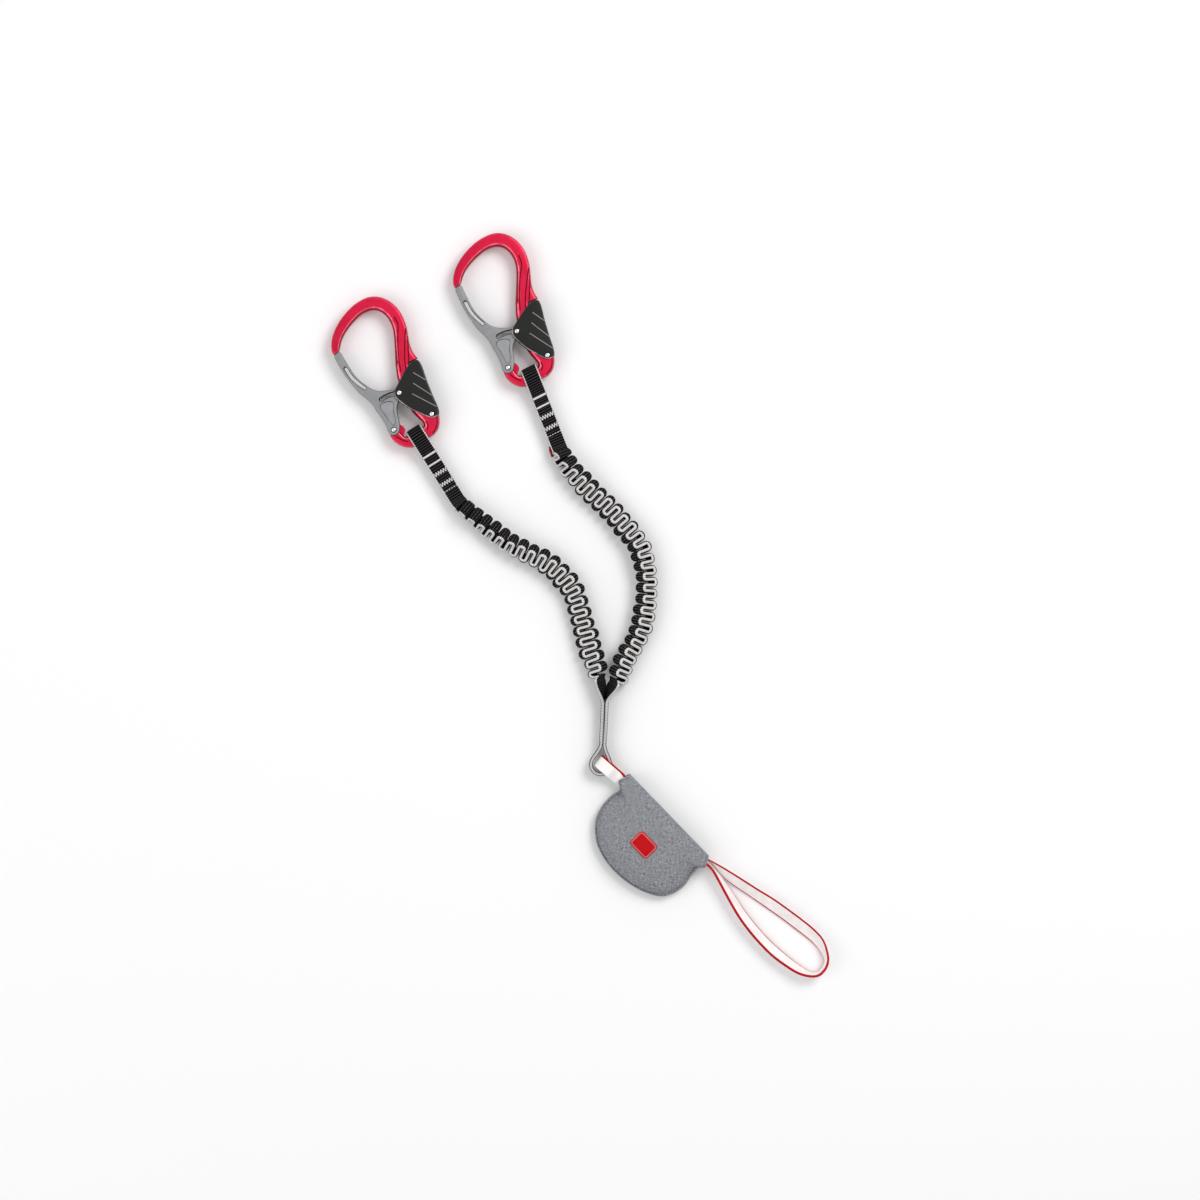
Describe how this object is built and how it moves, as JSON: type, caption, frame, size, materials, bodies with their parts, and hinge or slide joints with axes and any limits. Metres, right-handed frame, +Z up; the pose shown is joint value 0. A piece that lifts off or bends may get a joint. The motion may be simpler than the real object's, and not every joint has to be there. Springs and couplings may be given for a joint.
{
  "type": "via ferrata lanyard",
  "caption": "Y-shaped via ferrata lanyard: palm-squeeze carabiners on ruffled elastic webbing arms, a webbing stem, a soft pouch holding folded tear webbing, and a harness tie-in loop",
  "frame": {"origin": "middle of the footprint, on the surface the lanyard lies on", "axes": "+Z up from that surface; +Y along the layout's length, from the tie-in loop towards the carabiners; +X to the right as seen from above"},
  "size_m": [0.4162, 0.6225, 0.0206],
  "materials": {
    "frame_red": "crimson anodised, satin",
    "gate_grey": "grey anodised, satin",
    "lever_black": "black, satin",
    "steel": "bright",
    "black_webbing": "black webbing with pale edges",
    "grey_webbing": "grey webbing",
    "white_sling": "white sling tape with red edges",
    "melange_grey": "grey melange cloth",
    "dark_tape": "dark hook-and-loop tape",
    "patch_red": "plain red stitched patch"
  },
  "bodies": {
    "absorber": {"pouch_cover": "melange_grey", "tear_webbing_pack": "white_sling", "closure_strip": "dark_tape", "patch": "patch_red", "link_loop": "white_sling", "tie_in_loop": "white_sling"},
    "yoke": {"stem": "grey_webbing", "left_elastic_arm": "black_webbing", "right_elastic_arm": "black_webbing"},
    "left_end": {"left_end_loop": "black_webbing"},
    "left_carabiner": {"left_carabiner_frame": "frame_red", "left_gate_pivot_rivet": "steel", "left_gate_spring": "steel", "left_lever_spring": "steel"},
    "left_gate": {"left_gate": "gate_grey"},
    "left_lever": {"left_palm_lever": "lever_black", "left_lever_pivot_rivet": "steel", "left_lock_pin": "steel"},
    "right_end": {"right_end_loop": "black_webbing"},
    "right_carabiner": {"right_carabiner_frame": "frame_red", "right_gate_pivot_rivet": "steel", "right_gate_spring": "steel", "right_lever_spring": "steel"},
    "right_gate": {"right_gate": "gate_grey"},
    "right_lever": {"right_palm_lever": "lever_black", "right_lever_pivot_rivet": "steel", "right_lock_pin": "steel"}
  },
  "joints": [
    {"name": "yoke_turn", "type": "hinge", "parent": "absorber", "child": "yoke", "pos_m": [0.01935, -0.13349, 0.00703], "axis": [0, 0, 1], "range_deg": [-12, 12]},
    {"name": "left_arm_stretch", "type": "slide", "parent": "yoke", "child": "left_end", "axis": [-0.5299, 0.848, 0], "range_m": [0, 0.1], "stiffness_N_per_m": 120, "deforming": ["left_elastic_arm"]},
    {"name": "left_carabiner_swing", "type": "hinge", "parent": "left_end", "child": "left_carabiner", "pos_m": [-0.13557, 0.14094, 0.00903], "axis": [0.8471, 0.5314, 0], "range_deg": [-75, 75]},
    {"name": "left_lever_squeeze", "type": "hinge", "parent": "left_carabiner", "child": "left_lever", "pos_m": [-0.12403, 0.15983, 0.00903], "axis": [0, 0, 1], "range_deg": [0, 7.5], "stiffness_Nm_per_rad": 0.6, "deforming": ["left_lever_spring"]},
    {"name": "left_gate_open", "type": "hinge", "parent": "left_carabiner", "child": "left_gate", "pos_m": [-0.15612, 0.14682, 0.00903], "axis": [0, 0, -1], "range_deg": [0, 28], "stiffness_Nm_per_rad": 0.06, "deforming": ["left_gate_spring"]},
    {"name": "right_arm_stretch", "type": "slide", "parent": "yoke", "child": "right_end", "axis": [-0.3665, 0.9304, 0], "range_m": [0, 0.1], "stiffness_N_per_m": 120, "deforming": ["right_elastic_arm"]},
    {"name": "right_carabiner_swing", "type": "hinge", "parent": "right_end", "child": "right_carabiner", "pos_m": [-0.04067, 0.19114, 0.00903], "axis": [0.891, 0.454, 0], "range_deg": [-75, 75]},
    {"name": "right_lever_squeeze", "type": "hinge", "parent": "right_carabiner", "child": "right_lever", "pos_m": [-0.02749, 0.20892, 0.00903], "axis": [0, 0, 1], "range_deg": [0, 7.5], "stiffness_Nm_per_rad": 0.6, "deforming": ["right_lever_spring"]},
    {"name": "right_gate_open", "type": "hinge", "parent": "right_carabiner", "child": "right_gate", "pos_m": [-0.06061, 0.19881, 0.00903], "axis": [0, 0, -1], "range_deg": [0, 28], "stiffness_Nm_per_rad": 0.06, "deforming": ["right_gate_spring"]}
  ],
  "couplings": [
    {"joint": "left_gate_open", "follows": "left_lever_squeeze", "ratio": 3.7333},
    {"joint": "right_gate_open", "follows": "right_lever_squeeze", "ratio": 3.7333}
  ]
}
